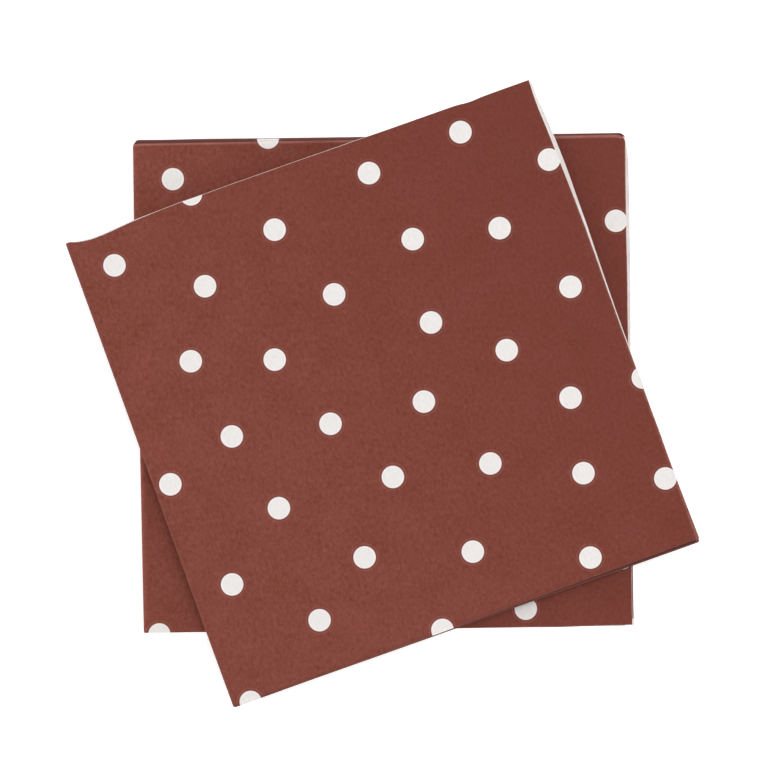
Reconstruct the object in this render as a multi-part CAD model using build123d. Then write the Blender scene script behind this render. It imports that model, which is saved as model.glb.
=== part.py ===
from build123d import *
from math import cos, radians, sin, tan
import os

# Two quarter-folded printed tissue napkins, one lying askew on the other.
# A napkin is one square sheet, folded in half and in half again, so it has four layers:
# layer 1 on top, print up; layer 2, print down; layer 3, print up; layer 4 underneath, print down.
# Layers 1 and 2, and layers 3 and 4, are joined by the two loops of the first fold.
# Layers 1 and 4, and layers 2 and 3, are joined round the second fold, one nested in the other.
# Each napkin is built with its second fold at the left and its loops at the front.
# All lengths are millimetres.

# Sheet
sheet_side = 330.0          # open napkin, as cut
printed_ply = 0.13          # printed outer ply, with its emboss
white_plies = 0.26          # the two plain inner plies together
ply_gap = 0.02              # air between the printed ply and the white plies
loop_gap = 0.30             # air inside a loop, white face to white face
second_gap = 0.30           # air between layers 2 and 3, printed face to printed face
rest_gap = 0.02             # air between the two napkins

# Print: round dots left white in the brown, scattered over a square that repeats
dot_diameter = 7.5
print_repeat = 180.0        # the print starts again after this length, both ways
print_start = -7.5          # edge of a repeat, from the two fold lines
corner_clear = 2.0          # a dot that comes this near to two edges at a corner is left out
dot_centres = [             # from the middle of the repeat, right and up as the top layer is seen
    (54.1, 73.1), (20.7, 70.6), (78.8, 54.4), (-15.4, 63.5), (27, 44.9), (55.6, 38.5),
    (-69.9, 70.4), (-43.7, 53.6), (-4, 36.4), (71.2, 12), (23.3, 16.6), (44, -0.7),
    (-56.7, 31.6), (-30.1, 22.6), (83.6, -24.7), (58.7, -22.9), (12.1, -7.5), (-19.8, -3.9),
    (-52.3, 3.3), (-77.1, -4.8), (-6.2, -27.7), (26, -34.5), (54.2, -48.1), (79.3, -59),
    (-45.6, -24.6), (-24.2, -49.8), (10.5, -60.3), (46.8, -75.5), (-69, -43.3), (-45.5, -64.5),
    (-7.9, -81.5), (-76.5, -82.5), (-37.7, 84),
]

# How far the folds and cuts of each napkin run off a true square
# fold_skew: degrees between the second fold and square, so the upper loop drifts in and the lower out
# loop_length: how much longer than a quarter's side each loop is
# fold_height: how much longer than a quarter's side the second fold is, outer, then inner layers
# free_corner: how far each layer's free corner lies from a true quarter's, across and up
# side_bulge: how far a layer swells out along the side cut, as shares of it from the loop
# end_bulge: how far all layers swell out along the end cut, as shares of it from the second fold
# print_shift: how far the print lies off its place on the sheet, from the second fold and from the loops
upper_napkin = dict(
    loops_at_back=False,
    fold_skew=0.24,
    loop_length=(0.78, 0.80),
    fold_height=(0.30, 0.20),
    free_corner=((-1.10, -0.80), (-0.50, -0.85), (-1.20, -1.00), (-1.30, -1.05)),
    side_bulge={
        1: ((0.40, 0.03), (0.52, 0.20), (0.62, 0.46), (0.72, 0.50), (0.80, 0.22), (0.88, 0.00)),
        2: ((0.40, 0.05), (0.50, 0.20), (0.60, 0.58), (0.70, 0.92), (0.80, 1.10), (0.92, 0.60)),
    },
    end_bulge=((0.02, -1.10), (0.05, -1.50), (0.14, -0.55), (0.26, 0.20), (0.60, 0.20)),
    print_shift=(0, 0),
)
lower_napkin = dict(
    loops_at_back=True,
    fold_skew=0.10,
    loop_length=(-0.10, 0.05),
    fold_height=(0.10, 0.00),
    free_corner=((-0.50, 0.10), (-0.55, 0.10), (0.20, 0.60), (0.15, 0.60)),
    side_bulge={2: ((0.05, 0.95), (0.15, 1.20), (0.35, 1.00), (0.55, 0.50), (0.80, 0.00))},
    end_bulge=(),
    print_shift=(-0.25, 0.90),
)

# Lie of the stack, seen from above
upper_turn = 19.8           # degrees, anticlockwise
lower_turn = 1.0
lower_across = 0.55         # middle of the lower napkin, from the middle of the upper one
lower_up = 3.3

# Radii of the two folds, from the plies and the air between them
quarter = sheet_side / 2
white_inside = loop_gap / 2
white_outside = white_inside + white_plies
print_inside = white_outside + ply_gap
loop_radius = print_inside + printed_ply
pair_height = second_gap / 2 + loop_radius      # middle of a pair of layers, from the napkin's middle
fold_radius = pair_height + loop_radius
napkin_height = 2 * fold_radius
dot_radius = dot_diameter / 2


def layer_outline(napkin, layer):
    """Plan of a flat layer: closed corner, cut end of its loop, free corner, cut end of the fold."""
    loop = 0 if layer in (1, 2) else 1
    nest = 0 if layer in (1, 4) else 1
    across = quarter - fold_radius
    up = quarter - loop_radius
    corner_across, corner_up = napkin["free_corner"][layer - 1]
    loop_end = across + napkin["loop_length"][loop]
    drift = loop_end * tan(radians(napkin["fold_skew"]))
    return [
        (0, 0),
        (loop_end, drift if loop == 0 else -drift),
        (across + corner_across, up + corner_up),
        (0, up + napkin["fold_height"][nest]),
    ]


def cut_edge(start, end, outward, bulge):
    """A cut edge from corner to corner, swelling outward at shares of its length."""
    if not bulge:
        return Line(start, end)
    points = [Vector(start) + (Vector(end) - Vector(start)) * share + Vector(outward) * out for share, out in bulge]
    return Spline(start, *points, end)


def flat_layer(napkin, layer, inside, outside):
    """One ply of one flat layer."""
    middle = pair_height if layer in (1, 2) else -pair_height
    lowest = middle + inside if layer in (1, 3) else middle - outside
    closed, loop_end, free, fold_end = layer_outline(napkin, layer)
    side = cut_edge(loop_end, free, (1, 0), napkin["side_bulge"].get(layer, ()))
    shares_from_free = [(1 - share, out) for share, out in reversed(napkin["end_bulge"])]
    end = cut_edge(free, fold_end, (0, 1), shares_from_free)
    plan = make_face([Line(closed, loop_end), side, end, Line(fold_end, closed)])
    return extrude(Pos(0, 0, lowest) * plan, amount=outside - inside, dir=(0, 0, 1))


def run_along_loop(napkin, number, section):
    """A section run both ways along the upper loop, number 0, or the lower loop, number 1."""
    side = 1 if number == 0 else -1
    skew = radians(napkin["fold_skew"])
    across_loop = Plane(
        origin=(0, 0, side * pair_height),
        x_dir=(-side * sin(skew), cos(skew), 0),
        z_dir=(cos(skew), side * sin(skew), 0),
    )
    return extrude(across_loop * section, amount=2 * quarter, both=True)


def loop(napkin, number, inside, outside):
    """One ply round a loop, from the second fold to the loop's cut end."""
    length = quarter - fold_radius + napkin["loop_length"][number]
    half_ring = Circle(outside) - Circle(inside) - Pos(outside, 0) * Rectangle(2 * outside, 2 * outside)
    run = run_along_loop(napkin, number, half_ring)
    return run & Pos(length / 2, 0, 0) * Box(length, 2 * quarter, 2 * fold_radius)


def second_fold(napkin, inside, outside):
    """One ply round the second fold: a wide bend round a tight one, closed at the loops' corner."""
    outer_height = layer_outline(napkin, 1)[3][1]
    inner_height = layer_outline(napkin, 2)[3][1]
    wide = Circle(pair_height + outside) - Circle(pair_height + inside)
    tight = Circle(pair_height - inside) - Circle(pair_height - outside)
    bend = extrude(Plane.XZ * wide, amount=-outer_height) + extrude(Plane.XZ * tight, amount=-inner_height)
    return bend & Pos(-fold_radius, 0, 0) * Box(2 * fold_radius, 4 * quarter, 2 * fold_radius)


def closed_corner(napkin, inside, outside):
    """Where the loops meet the second fold: each loop runs on and is shut by the wide bend."""
    shut = []
    for radius in (outside, inside):
        runs = run_along_loop(napkin, 0, Circle(radius)) + run_along_loop(napkin, 1, Circle(radius))
        shut.append(runs & Rot(90, 0, 0) * Cylinder(pair_height + radius, 2 * quarter))
    return (shut[0] - shut[1]) & Pos(-quarter, -quarter, 0) * Box(2 * quarter, 2 * quarter, 2 * fold_radius)


def folded_ply(napkin, inside, outside):
    """One whole ply of a napkin, folded twice, as one sheet."""
    sheet = second_fold(napkin, inside, outside) + closed_corner(napkin, inside, outside)
    for number in (0, 1):
        sheet += loop(napkin, number, inside, outside)
    for layer in (1, 2, 3, 4):
        sheet += flat_layer(napkin, layer, inside, outside)
    return sheet


def dot_centres_on(napkin):
    """Dot centres on the top layer, right of the second fold and away from the loops."""
    middle = print_start + print_repeat / 2
    upright = -1 if napkin["loops_at_back"] else 1
    repeats = range(-1, int(quarter // print_repeat) + 2)
    reach = quarter + dot_radius
    spots = []
    for column in repeats:
        for row in repeats:
            for right, up in dot_centres:
                across = middle + column * print_repeat + right + napkin["print_shift"][0]
                away = middle + row * print_repeat + upright * up + napkin["print_shift"][1]
                if dot_radius < across < reach and -dot_radius < away < reach:
                    spots.append((across, away))
    return spots


def hidden(napkin, across, away):
    """Whether a dot of the lower napkin lies wholly under the upper one."""
    if napkin is upper_napkin:
        return False
    spot = (upper_place.inverse() * lower_place * Pos(across - quarter / 2, quarter / 2 - away)).position
    return max(abs(spot.X), abs(spot.Y)) < quarter / 2 - dot_radius


def at_corner(across, away):
    """Whether a dot reaches the side cut and also the end cut or the loops, and would cut the corner's tip off."""
    reach = dot_radius + corner_clear
    return across > quarter - reach and (away > quarter - reach or away < reach)


def dot_openings(napkin):
    """Round openings through the printed ply of the top layer, where it can be seen."""
    openings = []
    for across, away in dot_centres_on(napkin):
        if hidden(napkin, across, away) or at_corner(across, away):
            continue
        on_loop = away < dot_radius + loop_radius       # such a dot runs right round the loop
        depth = 2 * loop_radius if on_loop else loop_radius
        place = Pos(across - fold_radius, away - loop_radius, fold_radius - depth / 2)
        openings.append(place * Cylinder(dot_radius, depth))
    return openings


def lay(ply, napkin, place):
    """Centre a folded ply, put its underside at the bottom, and lay it in its place."""
    ply = Pos(fold_radius - quarter / 2, loop_radius - quarter / 2, fold_radius) * ply
    if napkin["loops_at_back"]:
        ply = mirror(ply, about=Plane.XZ)
    return place * ply


# Build the four folded plies
upper_place = Pos(0, 0, napkin_height + rest_gap) * Rot(0, 0, upper_turn)
lower_place = Pos(lower_across, lower_up, 0) * Rot(0, 0, lower_turn)
stack = {}
for name, napkin, place in (
    ("upper", upper_napkin, upper_place),
    ("lower", lower_napkin, lower_place),
):
    printed = folded_ply(napkin, print_inside, loop_radius) - dot_openings(napkin)
    white = folded_ply(napkin, white_inside, white_outside)
    stack[name + "_printed_ply"] = lay(printed, napkin, place)
    stack[name + "_white_plies"] = lay(white, napkin, place)

# Origin on the surface below, under the middle of the stack's box
box = Compound(list(stack.values())).bounding_box()
centred = Pos(-box.center().X, -box.center().Y, 0)

os.makedirs("parts", exist_ok=True)
for node, shape in stack.items():
    export_step(centred * shape, "parts/" + node + ".step")
print("stack", box.size, "upper napkin's middle", (centred * upper_place).position)
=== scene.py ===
from math import cos, pi, radians, sin, tan

import bpy
import numpy as np
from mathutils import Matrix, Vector


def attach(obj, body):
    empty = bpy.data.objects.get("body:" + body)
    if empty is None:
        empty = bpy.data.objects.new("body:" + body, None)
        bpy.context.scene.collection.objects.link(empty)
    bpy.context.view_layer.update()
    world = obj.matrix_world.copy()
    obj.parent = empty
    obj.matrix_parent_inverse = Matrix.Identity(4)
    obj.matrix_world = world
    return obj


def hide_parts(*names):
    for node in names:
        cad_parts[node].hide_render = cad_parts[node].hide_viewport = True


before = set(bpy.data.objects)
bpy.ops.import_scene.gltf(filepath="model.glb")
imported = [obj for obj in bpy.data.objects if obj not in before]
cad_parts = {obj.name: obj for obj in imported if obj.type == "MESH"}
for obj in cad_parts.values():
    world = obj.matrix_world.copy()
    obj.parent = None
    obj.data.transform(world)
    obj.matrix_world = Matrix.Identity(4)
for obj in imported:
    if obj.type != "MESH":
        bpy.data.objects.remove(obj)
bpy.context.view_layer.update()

# Two quarter-folded tissue napkins, one lying askew on the other.
# A napkin is a square sheet folded in half and in half again, so it has four layers:
# layer 1 on top, print up; layer 2, print down; layer 3, print up; layer 4 underneath, print down.
# Layers 1 and 2, and layers 3 and 4, hang together at the loops of the first fold.
# Layers 1 and 4, and layers 2 and 3, hang together at the second fold.
# Lengths are millimetres until a mesh is made, and turns are degrees.

mm = 0.001
print("frame loaded")

# The sheet and how loosely it is folded, the same as in the solids
sheet = {
    "side": 330.0,              # open napkin, as cut
    "printedPly": 0.13,
    "whitePlies": 0.26,         # the two plain inner plies together
    "plyGap": 0.02,             # between the printed ply and the white plies
    "loopGap": 0.30,            # inside a loop, white face to white face
    "secondGap": 0.30,          # between layers 2 and 3, print to print
    "restGap": 0.02,            # between the two napkins
    "loopStretch": 1.35,        # only here: a pressed fold is wider than it is high
    "secondStretch": 1.15,
}
quarter = sheet["side"] / 2
whiteInside = sheet["loopGap"] / 2
whiteOutside = whiteInside + sheet["whitePlies"]
printInside = whiteOutside + sheet["plyGap"]
loopRadius = printInside + sheet["printedPly"]
pairHeight = sheet["secondGap"] / 2 + loopRadius    # middle of a pair of layers, from the napkin's middle
foldRadius = pairHeight + loopRadius
napkinHeight = 2 * foldRadius

# How each napkin was cut and folded. A bulge, a bow or a set-back is given as (share of the edge from the fold, mm).
upperNapkin = {
    "name": "upper",
    "loopsAtBack": False,
    "foldSkew": 0.24,                   # between the second fold and square
    "loopLength": (0.68, 0.60),         # past a quarter's side, the upper loop and the lower
    "foldHeight": (0.30, 0.20),         # past a quarter's side, the outer layers and the inner
    "freeCorner": (                     # from a true quarter's, across and up, layers 1 to 4
        (-1.10, -0.80), (-0.50, -0.85), (-1.20, -1.00), (-1.30, -1.05),
    ),
    "sideBulge": (                      # the side cut of layers 1 and 2
        ((0, 0), (0.10, -0.20), (0.18, -0.20), (0.24, -0.08), (0.40, -0.02), (0.52, 0.18),
         (0.62, 0.46), (0.72, 0.50), (0.80, 0.22), (0.88, 0), (0.95, -0.25), (1, 0)),
        ((0, 0), (0.10, -0.20), (0.18, -0.20), (0.24, -0.08), (0.40, 0.00), (0.50, 0.18),
         (0.60, 0.58), (0.70, 0.92), (0.80, 1.10), (0.92, 0.55), (0.96, 0.10), (1, 0)),
    ),
    "endBulge": (                       # the end cut of layer 1
        (0, 0), (0.02, -1.05), (0.05, -1.65), (0.14, -0.62), (0.26, 0.15), (0.60, 0.12),
        (0.84, -0.04), (0.87, -0.40), (0.90, -0.08), (1, 0.05),
    ),
    "innerEndBulge": (                  # and of layers 2 to 4
        (0, 0), (0.02, -0.70), (0.05, -1.18), (0.14, -0.28), (0.26, 0.22), (0.60, 0.12),
        (0.84, -0.04), (0.87, -0.40), (0.90, -0.08), (1, 0.05),
    ),
    "foldBow": ((0, 0.07), (0.5, 0.13), (0.8, 0.24), (1, 0.42)),        # the second fold, outward
    "loopBow": ((0, -0.10), (0.9, -0.12), (1, -0.08)),                  # the loops, outward
    "upperSetBack": ((0, 0), (1, 0)),   # how far the upper loop lies behind the lower one
    "whitePeek": (0.12, 0.12),          # how far the white plies stand out at the side and end cuts
    "edgeWave": 0.08,                   # unevenness of the cuts
    "cornerRound": (0.4, 0.3, 0.6),     # radii of the closed corner, the top layer's loop end and the others
    "puff": 0.0,                        # share by which the ridges beside the folds thicken it
    "foldHighlightAndShade": (0.00, 0.22, 0.60),     # painted highlight with print rubbed pale at the second fold, painted shade at the second fold, painted shade on the loops
    "printShift": (0.0, 0.0),           # how far the print lies off its place, from the second fold and the loops
    "printTurn": 0.0,
    "waveSeed": 3,
    "turn": 19.8,
    "middle": (-0.442, 0.456),          # in the stack
}
lowerNapkin = {
    "name": "lower",
    "loopsAtBack": True,
    "foldSkew": 0.10,
    "loopLength": (-0.10, 0.05),
    "foldHeight": (0.10, 0.00),
    "freeCorner": ((-0.50, 0.10), (-0.55, 0.10), (0.20, 0.60), (0.15, 0.60)),
    "sideBulge": (
        ((0, 0), (1, 0)),
        ((0, 0), (0.05, 0.95), (0.15, 1.20), (0.35, 1.00), (0.55, 0.50), (0.80, 0.00), (1, 0)),
    ),
    "endBulge": ((0, 0), (0.1, 0), (0.66, 0.20), (0.84, 0.15), (0.90, 0), (1, 0)),
    "innerEndBulge": ((0, 0), (0.1, 0), (0.66, 0.20), (0.84, 0.15), (0.90, 0), (1, 0)),
    "foldBow": ((0, 0.55), (0.15, 0.65), (0.4, 0.15), (1, -0.25)),
    "loopBow": ((0, 0.60), (0.12, 0.75), (0.3, 0.52), (1, 0.05)),
    "upperSetBack": ((0, 0), (0.10, 0.25), (0.6, 0.20), (1, 0.10)),
    "whitePeek": (0.10, 0.05),
    "edgeWave": 0.08,
    "cornerRound": (1.7, 3.0, 1.9),
    "puff": 0.05,
    # painted highlight with rubbed print at the second fold, painted shade at the second fold and on the loops
    "foldHighlightAndShade": (0.10, 0.00, 0.88),
    "printShift": (-0.15, 0.98),
    "printTurn": -0.25,
    "waveSeed": 8,
    "turn": 1.0,
    "middle": (0.108, 3.756),
}
overhang = {
    "reach": 25.0,              # the upper napkin's corners stick out this far past the lower one
    "sag": 0.6,                 # and hang down by this much at their tips
    "lift": 0.9,                # its borders float up
    "liftReach": 16.0,          # over this width
}
unevenness = {
    "waves": 5,                 # long waves added together, each shorter and lower than the last
    "shortening": 0.7,
    "edgeLength": 60.0,         # longest wave along a cut
    "swell": 0.02,              # share by which a napkin thickens and thins
    "swellLengths": (90, 70),   # longest waves across and away from the folds
    "swellLeans": (0.4, -0.3),
    "ridgePlaces": (2.0, 1.7),  # pressed ridge beside the second fold and beside the loops
    "ridgeWidths": (1.3, 1.1),
}
mesh = {
    "flatCells": 88,            # across a quarter, the finest cells at folds and cut edges
    "bendCells": 14,            # round a fold
    "edgeFineness": 0.75,
    "edgeReach": 14,            # power by which what only touches an edge fades out, in about 20 mm
    "sharpAngle": 50,           # only the cut rims are sharper
}


# Steps across the open sheet: the share of a quarter from its fold, and the angle round the fold
def foldSteps():
    share = np.linspace(0, 1, mesh["flatCells"] + 1)
    share = (1 - mesh["edgeFineness"]) * share + mesh["edgeFineness"] * (1 - np.cos(pi * share)) / 2
    bend = np.linspace(-pi / 2, pi / 2, mesh["bendCells"] + 1)[1:-1]
    flat = np.full(len(share), pi / 2)
    return np.concatenate([share[::-1], 0 * bend, share]), np.concatenate([-flat, bend, flat])


def smooth(low, high, value):
    share = np.clip((value - low) / (high - low), 0, 1)
    return share * share * (3 - 2 * share)


# A smooth curve through a few points that never swings past them, read at these shares
def curve(points, share):
    at, height = np.array(points, float).T
    grade = np.diff(height) / np.diff(at)
    before, after = grade[:-1], grade[1:]
    between = np.sign(before) * 2 * (before * after).clip(0) / (np.abs(before + after) + 1e-9)
    slope = np.concatenate([grade[:1], between, grade[-1:]])
    left = np.clip(np.searchsorted(at, share) - 1, 0, len(at) - 2)
    width = at[left + 1] - at[left]
    u = (share - at[left]) / width
    rise = u * u * (3 - 2 * u)
    bend = width * u * (1 - u) * ((1 - u) * slope[left] - u * slope[left + 1])
    return height[left] * (1 - rise) + height[left + 1] * rise + bend


# A few long waves, the same each run
def waves(along, seed, longest):
    chance = np.random.default_rng(seed)
    total = 0 * along
    for number in range(unevenness["waves"]):
        length = longest / (1 + unevenness["shortening"] * number)
        total = total + np.sin(2 * pi * along / length + chance.uniform(0, 2 * pi)) / (1 + number)
    return total / 2


def turned(x, y, degrees):
    turn = radians(degrees)
    return x * cos(turn) - y * sin(turn), x * sin(turn) + y * cos(turn)


# Plan of every layer of a napkin, with its second fold at the left and its loops at the front
def layerPlan(napkin, peeks):
    s, acrossAngle = foldSteps()
    t, awayAngle = foldSteps()
    s, t = s[:, None], t[None, :]
    inUpperPair = (acrossAngle >= 0)[:, None]       # layers 1 and 2
    inOuterPair = (awayAngle >= 0)[None, :]         # layers 1 and 4
    across = quarter - foldRadius
    up = quarter - loopRadius
    layer = np.where(inUpperPair, np.where(inOuterPair, 0, 1), np.where(inOuterPair, 3, 2))
    corner = np.array(napkin["freeCorner"])[layer]
    loopEnd = across + np.where(inUpperPair, *napkin["loopLength"])
    drift = loopEnd * tan(radians(napkin["foldSkew"])) * np.where(inUpperPair, 1, -1)
    foldEnd = up + np.where(inOuterPair, *napkin["foldHeight"])
    x = s * ((1 - t) * loopEnd + t * (across + corner[..., 0]))
    y = s * (1 - t) * drift + t * ((1 - s) * foldEnd + s * (up + corner[..., 1]))

    side = napkin["edgeWave"] * waves(y, napkin["waveSeed"], unevenness["edgeLength"])
    for number, bulge in enumerate(napkin["sideBulge"]):
        side = side + (layer == number) * curve(bulge, t)
    end = np.where(layer == 0, curve(napkin["endBulge"], s), curve(napkin["innerEndBulge"], s))
    end = end + napkin["edgeWave"] * waves(x, napkin["waveSeed"] + 1, unevenness["edgeLength"])
    loops = inUpperPair * curve(napkin["upperSetBack"], s) - curve(napkin["loopBow"], s)
    second = -curve(napkin["foldBow"], t)
    peekSide, peekEnd = napkin["whitePeek"]
    fade = mesh["edgeReach"]
    x = x + s ** fade * (side + peeks * peekSide) + (1 - s) ** fade * second
    y = y + t ** fade * (end + peeks * peekEnd) + (1 - t) ** fade * loops
    return x, y, s, t, acrossAngle[:, None], awayAngle[None, :]


# One face of a ply, at this distance from the middle of a pair of layers: its points in the stack, their places on
# the print, and how far they are, along the sheet, from the second fold, from the loops and from the cut
def plyFace(napkin, radius, peeks):
    x, y, s, t, acrossAngle, awayAngle = layerPlan(napkin, peeks)
    mirror = -1 if napkin["loopsAtBack"] else 1
    onSheetX = np.sign(acrossAngle) * x + foldRadius * acrossAngle / (pi / 2)
    onSheetY = np.sign(awayAngle) * y + loopRadius * awayAngle / (pi / 2)
    fromSecond, fromLoops = np.abs(onSheetX), np.abs(onSheetY)
    distances = np.stack([fromSecond, fromLoops, quarter - np.maximum(fromSecond, fromLoops)], axis=-1)
    shiftX, shiftY = napkin["printShift"]
    onPrintX = onSheetX - quarter / 2 - shiftX
    onPrintY = mirror * (onSheetY - quarter / 2 - shiftY)
    place = np.stack(turned(onPrintX, onPrintY, -napkin["printTurn"]), axis=-1)

    fromPair = radius * np.sin(awayAngle)
    z = (pairHeight + fromPair) * np.sin(acrossAngle)
    x = x + (sheet["secondStretch"] - 1) * foldRadius * (1 - s) ** mesh["edgeReach"]
    x = x - sheet["secondStretch"] * (pairHeight + fromPair) * np.cos(acrossAngle)
    y = y + (sheet["loopStretch"] - 1) * loopRadius * (1 - t) ** mesh["edgeReach"]
    y = y - sheet["loopStretch"] * radius * np.cos(awayAngle)
    drift = x * tan(radians(napkin["foldSkew"])) * np.where(acrossAngle >= 0, 1, -1)
    x, y = x + foldRadius, y + loopRadius       # from the napkin's outermost fold lines
    x, y = roundCorners(napkin, x, y, drift, acrossAngle, awayAngle)
    z = (z + foldRadius) * (1 + thickness(napkin, x, y))

    x, y = turned(x - quarter / 2, mirror * (y - quarter / 2), napkin["turn"])
    x, y = x + napkin["middle"][0], y + napkin["middle"][1]
    return np.stack([x, y, z + undersideHeight(napkin, x, y)], axis=-1), place / sheet["side"], distances


# The closed corner and the loops' cut ends are worn round, seen from above
def roundCorners(napkin, x, y, drift, acrossAngle, awayAngle):
    closed, topLayer, others = napkin["cornerRound"]
    loopEnd = quarter + np.where(acrossAngle >= 0, *napkin["loopLength"])
    onTop = (acrossAngle >= 0) * smooth(-pi / 2, -pi / 3, awayAngle)
    atEnds = others + (topLayer - others) * onTop
    for flip, far, lean, radius in ((1, 0, 0, closed), (-1, loopEnd, drift, atEnds)):
        fromX = radius - (flip * x + far)
        fromY = radius - (y - lean)
        inside = (fromX > 0) & (fromY > 0)
        shrink = np.where(inside, np.maximum(fromX, fromY) / np.maximum(np.hypot(fromX, fromY), 1e-6), 1)
        x = x + flip * np.where(inside, fromX * (1 - shrink), 0)
        y = y + np.where(inside, fromY * (1 - shrink), 0)
    return x, y


# How much thicker than flat a napkin is at a place: a pressed ridge along each fold, and long soft waves
def thickness(napkin, x, y):
    ridge, swell = 0, 0
    for number, (along, beside) in enumerate(((x, y), (y, x))):
        place, width = unevenness["ridgePlaces"][number], unevenness["ridgeWidths"][number]
        lean, longest = unevenness["swellLeans"][number], unevenness["swellLengths"][number]
        ridge = ridge + np.exp(-((along - place) / width) ** 2)
        swell = swell + waves(along + lean * beside, napkin["waveSeed"] + 2 + number, longest)
    return napkin["puff"] * ridge.clip(0, 1) + unevenness["swell"] * swell


# A place in the stack, from a napkin's middle and along its sides
def fromMiddle(napkin, x, y):
    return turned(x - napkin["middle"][0], y - napkin["middle"][1], -napkin["turn"])


# The lower napkin lies on the table and the upper one on it, with its borders up and its corners hanging a little
def undersideHeight(napkin, x, y):
    if napkin is lowerNapkin:
        return 0
    across, up = fromMiddle(upperNapkin, x, y)
    border = np.maximum(np.abs(across), np.abs(up))
    lifted = overhang["lift"] * smooth(quarter / 2 - overhang["liftReach"], quarter / 2, border)
    across, up = fromMiddle(lowerNapkin, x, y)
    outside = np.hypot((np.abs(across) - quarter / 2).clip(0), (np.abs(up) - quarter / 2).clip(0))
    hanging = overhang["sag"] * (outside / overhang["reach"]) ** 2
    below = napkinHeight * (1 + thickness(lowerNapkin, across + quarter / 2, quarter / 2 - up))
    return below + sheet["restGap"] + lifted - hanging


# A closed mesh between the outer and the inner face of a ply
def plyMesh(name, napkin, inside, outside, peeks, materials):
    outer, place, distances = plyFace(napkin, outside, peeks)
    inner = plyFace(napkin, inside, peeks)[0]
    rows, columns = place.shape[:2]
    top = np.arange(rows * columns).reshape(rows, columns)
    under = top + rows * columns
    rim = np.concatenate([top[:-1, 0], top[-1, :-1], top[:0:-1, -1], top[0, :0:-1]])
    following = np.roll(rim, -1)
    quads = [
        np.stack([top[:-1, :-1], top[1:, :-1], top[1:, 1:], top[:-1, 1:]], axis=-1).reshape(-1, 4),
        np.stack([under[:-1, :-1], under[:-1, 1:], under[1:, 1:], under[1:, :-1]], axis=-1).reshape(-1, 4),
        np.stack([following, rim, rim + rows * columns, following + rows * columns], axis=-1),
    ]
    faces = np.concatenate(quads)
    if napkin["loopsAtBack"]:
        faces = faces[:, ::-1]
    points = np.concatenate([outer.reshape(-1, 3), inner.reshape(-1, 3)]) * mm
    data = bpy.data.meshes.new(name)
    data.from_pydata(points.tolist(), [], faces.tolist())
    for material in materials:
        data.materials.append(material)
    if len(materials) > 1:      # print outside, bare tissue inside and on the cut rim
        printed = len(quads[0])
        data.polygons.foreach_set("material_index", np.where(np.arange(len(faces)) < printed, 0, 1))
    data.polygons.foreach_set("use_smooth", np.ones(len(faces), bool))
    data.set_sharp_from_angle(angle=radians(mesh["sharpAngle"]))
    onSheet = np.concatenate([place.reshape(-1, 2)] * 2)
    loopPoints = np.zeros(len(data.loops), np.int32)
    data.loops.foreach_get("vertex_index", loopPoints)
    data.uv_layers.new(name="onSheet").data.foreach_set("uv", onSheet[loopPoints].ravel())
    distances = distances.reshape(-1, 3)
    # the second label carries each napkin's painted highlight with rubbed print and its painted fold shades
    for label, values in (("distances", distances), ("foldHighlightAndShade", 0 * distances + napkin["foldHighlightAndShade"])):
        data.attributes.new(label, "FLOAT_VECTOR", "POINT").data.foreach_set("vector", np.tile(values.ravel(), 2))
    data.update()
    piece = bpy.data.objects.new(name, data)
    bpy.context.scene.collection.objects.link(piece)
    print(name, "made,", 2 * len(faces), "triangles")
    return piece


# sRGB hex to linear colour
def colour(hexCode):
    values = [int(hexCode[i:i + 2], 16) / 255 for i in (1, 3, 5)]
    return [v / 12.92 if v <= 0.04045 else ((v + 0.055) / 1.055) ** 2.4 for v in values] + [1.0]


# Adds a node, with its settings, and its inputs as values or as links
def addNode(tree, kind, settings=None, inputs=None):
    node = tree.nodes.new(kind)
    for key, value in (settings or {}).items():
        setattr(node, key, value)
    for key, value in (inputs or {}).items():
        if isinstance(value, bpy.types.NodeSocket):
            tree.links.new(value, node.inputs[key])
        else:
            node.inputs[key].default_value = value
    return node


def newMaterial(name):
    material = bpy.data.materials.new(name)
    material.use_nodes = True
    material.node_tree.nodes.clear()
    return material, material.node_tree


# Places on the open sheet in millimetres, from the middle of layer 1
def sheetPlace(tree):
    place = addNode(tree, "ShaderNodeUVMap", {"uv_map": "onSheet"})
    return addNode(tree, "ShaderNodeVectorMath", {"operation": "SCALE"}, {
        0: place.outputs["UV"], "Scale": sheet["side"]}).outputs[0]


# The three numbers that each point of a mesh carries under this label
def carried(tree, label):
    numbers = addNode(tree, "ShaderNodeAttribute", {"attribute_name": label}).outputs["Vector"]
    return addNode(tree, "ShaderNodeSeparateXYZ", {}, {"Vector": numbers}).outputs


# Creping wrinkles a tissue across the way it ran through the machine: short, wavy, uneven ridges
creping = {
    "pitch": 0.8,           # mm from ridge to ridge
    "ridgeLength": 1.2,     # mm
    "lean": 8,              # degrees
    "spread": 0.8,          # widens both a little, as noise has more than one bump in its unit
    "fibre": 0.45,          # mm, coarser than real fibres so that it shows
    "fibreShare": 0.35,     # how much the fibres add to the ridges
    "height": 0.05,         # mm
    "strength": 0.6,        # of the bump
}


# Height of the creping at a place on the sheet, as a share of the bump's height
def crepe(tree, place):
    stretched = addNode(tree, "ShaderNodeMapping", {}, {
        "Vector": place, "Rotation": (0, 0, radians(creping["lean"])),
        "Scale": (1 / creping["pitch"], 1 / creping["ridgeLength"], 1)})
    ridges = addNode(tree, "ShaderNodeTexNoise", {"noise_dimensions": "2D"}, {
        "Vector": stretched.outputs[0], "Scale": creping["spread"],
        "Detail": 3.0, "Roughness": 0.55, "Distortion": 0.6})
    fibres = addNode(tree, "ShaderNodeTexNoise", {"noise_dimensions": "2D"}, {
        "Vector": place, "Scale": 1 / creping["fibre"], "Detail": 2.0})
    return addNode(tree, "ShaderNodeMath", {"operation": "MULTIPLY_ADD"}, {
        0: fibres.outputs[0], 1: creping["fibreShare"], 2: ridges.outputs[0]}).outputs[0]


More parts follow.
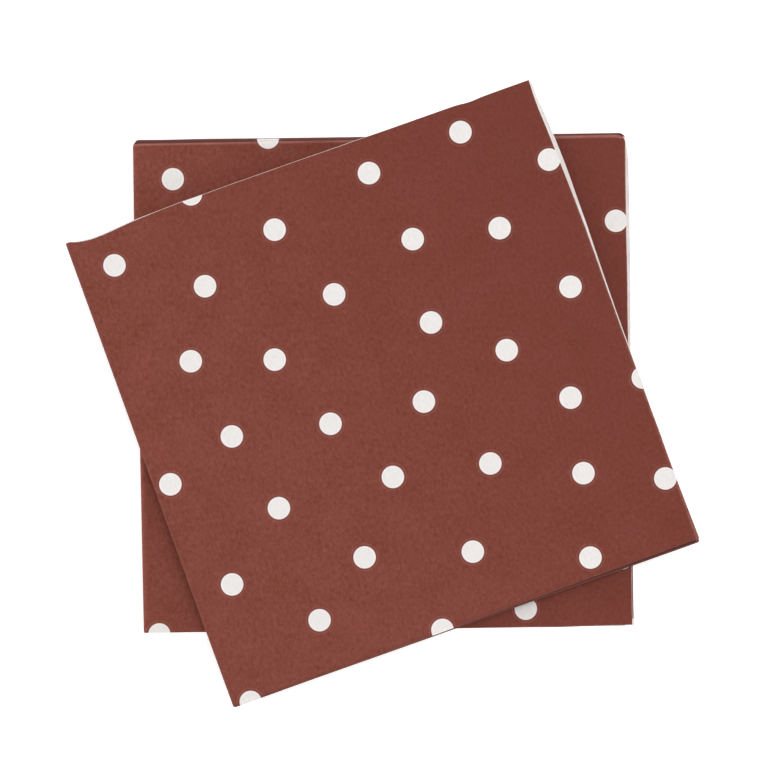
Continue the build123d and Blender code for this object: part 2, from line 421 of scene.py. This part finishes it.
# Paper fibre has an IOR of about 1.45, and its open surface reflects less than a solid face would
def matte(tree, base, roughness, height):
    relief = addNode(tree, "ShaderNodeBump", {}, {
        "Height": height, "Strength": creping["strength"], "Distance": creping["height"] * mm})
    surface = addNode(tree, "ShaderNodeBsdfPrincipled", {}, {
        "Base Color": base, "Roughness": roughness, "IOR": 1.45, "Specular IOR Level": 0.25,
        "Normal": relief.outputs[0]})
    addNode(tree, "ShaderNodeOutputMaterial", {}, {"Surface": surface.outputs[0]})


# Plain creped tissue: soft white, a little warm, matte, with faint wrinkles. It is so thin that the ink of the
# printed ply tints it pink along the cuts, unevenly.
def makeWhiteTissue():
    look = {
        "paper": "#F4F1F0", "shade": "#E4E0DE", "tinted": "#DFC4BD",
        "toneFrom": 0.35, "toneTo": 0.95,       # creping heights of shade and paper
        "tintReach": 0.7,                       # mm from the cut
        "tintPatch": 9.0,                       # mm across a patch of more or less tint
        "patchFrom": 0.35, "patchTo": 0.65,
        "leastTint": 0.05, "mostTint": 0.5,
        "roughness": 0.92,
    }
    material, tree = newMaterial("whiteTissue")
    place = sheetPlace(tree)
    height = crepe(tree, place)
    tone = addNode(tree, "ShaderNodeMapRange", {}, {
        "Value": height, "From Min": look["toneFrom"], "From Max": look["toneTo"]})
    plain = addNode(tree, "ShaderNodeMix", {"data_type": "RGBA"}, {
        "Factor": tone.outputs[0], 6: colour(look["shade"]), 7: colour(look["paper"])})
    patches = addNode(tree, "ShaderNodeTexNoise", {"noise_dimensions": "2D"}, {
        "Vector": place, "Scale": 1 / look["tintPatch"], "Detail": 2.0})
    uneven = addNode(tree, "ShaderNodeMapRange", {}, {
        "Value": patches.outputs[0], "From Min": look["patchFrom"], "From Max": look["patchTo"],
        "To Min": look["leastTint"], "To Max": look["mostTint"]})
    nearCut = addNode(tree, "ShaderNodeMapRange", {"interpolation_type": "SMOOTHSTEP"}, {
        "Value": carried(tree, "distances")["Z"], "From Min": 0.0, "From Max": look["tintReach"],
        "To Min": 1.0, "To Max": 0.0})
    tint = addNode(tree, "ShaderNodeMath", {"operation": "MULTIPLY"}, {0: nearCut.outputs[0], 1: uneven.outputs[0]})
    tinted = addNode(tree, "ShaderNodeMix", {"data_type": "RGBA"}, {
        "Factor": tint.outputs[0], 6: plain.outputs[2], 7: colour(look["tinted"])})
    matte(tree, tinted.outputs[2], look["roughness"], height)
    return material


# White dots left bare in the print, scattered over a square that repeats.
# Centres are from the middle of the repeat, right and up as the top layer is seen.
dots = {
    "diameter": 7.5,
    "printRepeat": 180.0,
    "repeatDrop": 67.3,         # each repeat to the left lies this much lower
    "centres": (
        (54.1, 73.1), (20.7, 70.6), (78.8, 54.4), (-15.4, 63.5), (27, 44.9), (55.6, 38.5),
        (-69.9, 70.4), (-43.7, 53.6), (-4, 36.4), (71.2, 12), (23.3, 16.6), (44, -0.7),
        (-56.7, 31.6), (-30.1, 22.6), (83.6, -24.7), (58.7, -22.9), (12.1, -7.5), (-19.8, -3.9),
        (-52.3, 3.3), (-77.1, -4.8), (-6.2, -27.7), (26, -34.5), (54.2, -48.1), (79.3, -59),
        (-45.6, -24.6), (-24.2, -49.8), (10.5, -60.3), (46.8, -75.5), (-69, -43.3), (-45.5, -64.5),
        (-7.9, -81.5), (-76.5, -82.5), (-37.7, 84),
    ),
}


# Distance to the edge of the nearest dot, below 0 inside it
def nearestDot(tree, place):
    half = dots["printRepeat"] / 2
    across = addNode(tree, "ShaderNodeSeparateXYZ", {}, {"Vector": place})
    beyond = addNode(tree, "ShaderNodeMath", {"operation": "LESS_THAN"}, {0: across.outputs["X"], 1: -half})
    drop = addNode(tree, "ShaderNodeMath", {"operation": "MULTIPLY"}, {0: beyond.outputs[0], 1: dots["repeatDrop"]})
    drop = addNode(tree, "ShaderNodeCombineXYZ", {}, {"Y": drop.outputs[0]})
    stepped = addNode(tree, "ShaderNodeVectorMath", {"operation": "ADD"}, {0: place, 1: drop.outputs[0]})
    wrapped = addNode(tree, "ShaderNodeVectorMath", {"operation": "WRAP"}, {
        0: stepped.outputs[0], 1: (half, half, 1), 2: (-half, -half, -1)})
    nearest = dots["printRepeat"]
    for right, up in dots["centres"]:
        away = addNode(tree, "ShaderNodeVectorMath", {"operation": "DISTANCE"}, {
            0: wrapped.outputs[0], 1: (right, up, 0)})
        nearest = addNode(tree, "ShaderNodeMath", {"operation": "MINIMUM"}, {
            0: nearest, 1: away.outputs["Value"]}).outputs[0]
    return addNode(tree, "ShaderNodeMath", {"operation": "SUBTRACT"}, {
        0: nearest, 1: dots["diameter"] / 2}).outputs[0]


# Tissue printed in one red-brown ink by a soft rubber plate: matte, a little mottled where the creping took
# less ink, darker towards one corner, with a dark rim of squeezed-out ink and a faint pale ring round each dot,
# paler along the side cuts, with a painted highlight and print rubbed pale along the folds, and painted shade on
# creased bends
def makePrintedTissue():
    look = {
        "thinInk": "#935549", "thickInk": "#6A2C20",        # on the creping's ridges and between them
        "coolInk": "#8A4C43", "warmInk": "#70321F", "broadPatch": 14.0,     # in patches this many mm across
        # darker to the right and a little upward: mm from lightest to darkest, and how much at the darkest
        "gradientInk": "#6E332A", "gradientSpan": 260.0, "gradientLean": 0.35, "gradientFrom": -0.6, "gradientShare": 0.62,
        # the last dot colour is painted shade, where a dot wraps round a creased loop
        "bareDot": "#F0ECEA", "dotShade": "#E6E2DF", "dotRim": "#F4EBE9", "dotPaintedShade": "#D8CFCB",
        # a pale colour for painted highlight mixed with rubbed print and for the dots' rings, the dark painted shade
        # for creased bends, and the paler fringe of the side cuts
        "paleInkAndHighlight": "#B07A70", "paintedFoldShade": "#583430", "cutFringe": "#A06A60",
        "toneFrom": 0.38, "toneTo": 0.95,                   # creping heights of thick and thin ink
        # mm from a fold line, from where to where each painted highlight and painted shade comes or goes
        "secondFoldReach": (0.2, 1.7), "loopShadeReach": (0.46, 0.62), "softPaintedShade": (0.5, 1.7),
        "ridgeComes": (0.50, 0.75), "ridgeGoes": (0.85, 1.6),
        "sharpCrease": (0.6, 0.95),                         # loops creased and shaded more than this get a painted highlight ridge beside the crease
        "softShare": 0.35,                                  # and those creased less get a soft painted shade
        "fringeReach": 0.8, "fringeShare": 0.9,
        # mm from a dot's edge: its blur, the brighter rim inside it, the squeezed-out ink and the pale ring outside
        "dotBlur": (-0.14, 0.14), "rimInside": (-0.6, -0.2), "squeezeReach": (0.1, 0.55), "squeeze": 0.32,
        "ringAt": 0.75, "ringWidth": (0.05, 0.35), "ring": 0.16,
        "roughness": 0.88,
    }
    material, tree = newMaterial("printedTissue")
    place = sheetPlace(tree)
    height = crepe(tree, place)
    tone = addNode(tree, "ShaderNodeMapRange", {}, {
        "Value": height, "From Min": look["toneFrom"], "From Max": look["toneTo"]}).outputs[0]
    patches = addNode(tree, "ShaderNodeTexNoise", {"noise_dimensions": "2D"}, {
        "Vector": place, "Scale": 1 / look["broadPatch"], "Detail": 4.0, "Roughness": 0.6}).outputs[0]
    # darker towards the right and a little upward, along a long sine
    towards = pi / look["gradientSpan"]
    diagonal = addNode(tree, "ShaderNodeVectorMath", {"operation": "DOT_PRODUCT"}, {
        0: place, 1: (towards, look["gradientLean"] * towards, 0)})
    wave = addNode(tree, "ShaderNodeMath", {"operation": "SINE"}, {0: diagonal.outputs["Value"]})
    gradient = addNode(tree, "ShaderNodeMapRange", {}, {
        "Value": wave.outputs[0], "From Min": look["gradientFrom"], "From Max": 1.0,
        "To Min": 0.0, "To Max": look["gradientShare"]})
    fromSecond, fromLoops = carried(tree, "distances")[:2]
    # how much painted highlight with rubbed print the second fold has, and how much painted shade the second fold
    # and the loops have
    rubAndHighlightOnSecond, shadeOnSecond, shadeOnLoops = carried(tree, "foldHighlightAndShade")[:3]
    fromDot = nearestDot(tree, place)
    fromRing = addNode(tree, "ShaderNodeMath", {"operation": "SUBTRACT"}, {0: fromDot, 1: look["ringAt"]})
    fromRing = addNode(tree, "ShaderNodeMath", {"operation": "ABSOLUTE"}, {0: fromRing.outputs[0]}).outputs[0]

    # Smooth steps: what they go by, from where to where, and the level before and after
    level = {}
    for name, goesBy, (low, high), (before, after) in (
        ("atSecond", fromSecond, look["secondFoldReach"], (1.0, 0.0)),
        ("atSide", fromSecond, (quarter - look["fringeReach"], quarter), (0.0, look["fringeShare"])),
        ("atLoops", fromLoops, look["loopShadeReach"], (1.0, 0.0)),
        ("nearLoops", fromLoops, look["softPaintedShade"], (1.0, 0.0)),
        ("pastCrease", fromLoops, look["ridgeComes"], (0.0, 1.0)),
        ("beforeFlat", fromLoops, look["ridgeGoes"], (1.0, 0.0)),
        ("sharp", shadeOnLoops, look["sharpCrease"], (0.0, 1.0)),
        ("soft", shadeOnLoops, look["sharpCrease"], (look["softShare"], 0.0)),
        ("inDot", fromDot, look["dotBlur"], (1.0, 0.0)),
        ("dotRim", fromDot, look["rimInside"], (0.0, 1.0)),
        ("squeezed", fromDot, look["squeezeReach"], (look["squeeze"], 0.0)),
        ("ring", fromRing, look["ringWidth"], (look["ring"], 0.0)),
    ):
        level[name] = addNode(tree, "ShaderNodeMapRange", {"interpolation_type": "SMOOTHSTEP"}, {
            "Value": goesBy, "From Min": low, "From Max": high, "To Min": before, "To Max": after}).outputs[0]

    # Painted highlights mixed with rubbed print, painted shades and the paler cut fringe, each the product of its
    # causes
    for name, *causes in (
        # the next two are a painted highlight mixed with print rubbed pale, at the second fold and beside pressed
        # loops
        ("secondRubAndHighlight", rubAndHighlightOnSecond, level["atSecond"], tone),
        ("ridge", level["sharp"], level["pastCrease"], level["beforeFlat"], patches),
        # the next three are painted shade on the bends of the second fold and the loops
        ("secondPaintedShade", shadeOnSecond, level["atSecond"]),
        ("softPaintedShade", level["soft"], level["nearLoops"]),
        ("loopPaintedShade", shadeOnLoops, level["atLoops"]),
        ("fringe", level["atSide"], tone),
    ):
        level[name] = causes[0]
        for cause in causes[1:]:
            level[name] = addNode(tree, "ShaderNodeMath", {"operation": "MULTIPLY"}, {
                0: level[name], 1: cause}).outputs[0]

    # Colours mixed in this order: the result, what is under, how much of what is over
    shades = {name: colour(value) for name, value in look.items() if isinstance(value, str)}
    for result, under, share, over in (
        ("fine", "thickInk", tone, "thinInk"),
        ("broad", "warmInk", patches, "coolInk"),
        ("ink", "fine", 0.5, "broad"),
        # darker towards one corner
        ("ink", "ink", gradient.outputs[0], "gradientInk"),
        # painted highlight mixed with print rubbed pale, at the second fold and beside pressed loops
        ("ink", "ink", level["secondRubAndHighlight"], "paleInkAndHighlight"),
        ("ink", "ink", level["ridge"], "paleInkAndHighlight"),
        # painted shade on the fold bends
        ("ink", "ink", level["secondPaintedShade"], "paintedFoldShade"),
        ("ink", "ink", level["softPaintedShade"], "paintedFoldShade"),
        ("ink", "ink", level["loopPaintedShade"], "paintedFoldShade"),
        ("ink", "ink", level["fringe"], "cutFringe"),
        ("ink", "ink", level["squeezed"], "thickInk"),
        # the pale ring round each dot is print, in the same pale colour
        ("ink", "ink", level["ring"], "paleInkAndHighlight"),
        ("bare", "dotShade", tone, "bareDot"),
        ("bare", "bare", level["dotRim"], "dotRim"),
        # painted shade on the dots where they wrap round a creased loop
        ("bare", "bare", level["loopPaintedShade"], "dotPaintedShade"),
        ("print", "ink", level["inDot"], "bare"),
    ):
        shades[result] = addNode(tree, "ShaderNodeMix", {"data_type": "RGBA"}, {
            "Factor": share, 6: shades[under], 7: shades[over]}).outputs[2]
    matte(tree, shades["print"], look["roughness"], height)
    return material


whiteTissue = makeWhiteTissue()
printedTissue = makePrintedTissue()
print("materials made")

for napkin, under in ((lowerNapkin, []), (upperNapkin, ["lower_printed_ply"])):
    name = napkin["name"]
    printed = plyMesh(name + "PrintedPly", napkin, printInside, loopRadius, 0, [printedTissue, whiteTissue])
    white = plyMesh(name + "WhitePlies", napkin, whiteInside, whiteOutside, 1, [whiteTissue])
    for piece, node, slot in ((printed, "_printed_ply", "printed_tissue"), (white, "_white_plies", "white_tissue")):
        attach(piece, "root")
        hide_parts(name + node)

# Studio: a white table in a soft light tent
studio = {
    "floorSize": 6.0,       # metres
    "floorDrop": 0.03,      # mm that the table lies below the stack's underside, so that the two faces don't flicker
    "floorColour": "#F2F2F2",
    "floorGlow": 0.52,      # seen by the camera only, so that the table is white and keeps a faint shadow
    "skyAbove": 0.34,       # the tent overhead
    "skySide": 5.5,         # and all round, low down
    "sidePower": 3.0,       # how steeply it brightens downward
    "lampSize": 0.9,        # metres
    "lampPower": 5.8,       # watts
    "lampPlace": (0.48, 0.86, 1.26),        # metres
}


def makeTable():
    material, tree = newMaterial("whiteTable")
    rays = addNode(tree, "ShaderNodeLightPath")
    seen = rays.outputs["Is Camera Ray"]
    for ray in ("Is Glossy Ray", "Is Transmission Ray"):
        seen = addNode(tree, "ShaderNodeMath", {"operation": "MAXIMUM"}, {0: seen, 1: rays.outputs[ray]}).outputs[0]
    glow = addNode(tree, "ShaderNodeMath", {"operation": "MULTIPLY"}, {0: seen, 1: studio["floorGlow"]})
    shade = addNode(tree, "ShaderNodeEmission", {}, {"Strength": glow.outputs[0]})
    paint = addNode(tree, "ShaderNodeBsdfDiffuse", {}, {"Color": colour(studio["floorColour"])})
    both = addNode(tree, "ShaderNodeAddShader", {}, {0: paint.outputs[0], 1: shade.outputs[0]})
    addNode(tree, "ShaderNodeOutputMaterial", {}, {"Surface": both.outputs[0]})
    half = studio["floorSize"] / 2
    data = bpy.data.meshes.new("table")
    data.from_pydata([(-half, -half, 0), (half, -half, 0), (half, half, 0), (-half, half, 0)], [], [(0, 1, 2, 3)])
    data.materials.append(material)
    table = bpy.data.objects.new("table", data)
    table.location.z = -studio["floorDrop"] * mm
    bpy.context.scene.collection.objects.link(table)


def makeLight():
    world = bpy.data.worlds.new("tent")
    world.use_nodes = True
    world.node_tree.nodes.clear()
    tree = world.node_tree
    rays = addNode(tree, "ShaderNodeLightPath")
    towards = addNode(tree, "ShaderNodeTexCoord")
    height = addNode(tree, "ShaderNodeSeparateXYZ", {}, {"Vector": towards.outputs["Generated"]})
    low = addNode(tree, "ShaderNodeMapRange", {}, {"Value": height.outputs["Z"], "To Min": 1.0, "To Max": 0.0})
    low = addNode(tree, "ShaderNodeMath", {"operation": "POWER"}, {0: low.outputs[0], 1: studio["sidePower"]})
    tent = addNode(tree, "ShaderNodeMapRange", {}, {
        "Value": low.outputs[0], "To Min": studio["skyAbove"], "To Max": studio["skySide"]})
    level = addNode(tree, "ShaderNodeMapRange", {}, {
        "Value": rays.outputs["Is Camera Ray"], "To Min": tent.outputs[0], "To Max": 1.0})
    sky = addNode(tree, "ShaderNodeBackground", {}, {"Color": (1, 1, 1, 1), "Strength": level.outputs[0]})
    addNode(tree, "ShaderNodeOutputWorld", {}, {"Surface": sky.outputs[0]})
    bpy.context.scene.world = world
    data = bpy.data.lights.new("softbox", "AREA")
    data.shape = "DISK"
    data.size = studio["lampSize"]
    data.energy = studio["lampPower"]
    lamp = bpy.data.objects.new("softbox", data)
    lamp.location = studio["lampPlace"]
    lamp.rotation_euler = (-Vector(studio["lampPlace"])).to_track_quat("-Z", "Y").to_euler()
    bpy.context.scene.collection.objects.link(lamp)


# The camera looks straight down, as in the photograph
view = {
    "pixels": 768,
    "pixelsPerMm": 2.99,            # at the top of the stack
    "middle": (0.143, 3.383),       # what is in the middle of the picture, mm
    "lens": 85.0,
    "sensor": 36.0,
    "nearest": 0.01,                # metres
}


def makeCamera():
    data = bpy.data.cameras.new("camera")
    data.lens = view["lens"]
    data.sensor_width = view["sensor"]
    data.clip_start = view["nearest"]
    camera = bpy.data.objects.new("camera", data)
    width = view["pixels"] / view["pixelsPerMm"]
    height = 2 * napkinHeight + width * view["lens"] / view["sensor"]
    camera.location = (view["middle"][0] * mm, view["middle"][1] * mm, height * mm)
    bpy.context.scene.collection.objects.link(camera)
    bpy.context.scene.camera = camera


makeTable()
makeLight()
makeCamera()
bpy.context.scene.view_settings.view_transform = "Standard"
print("studio made")
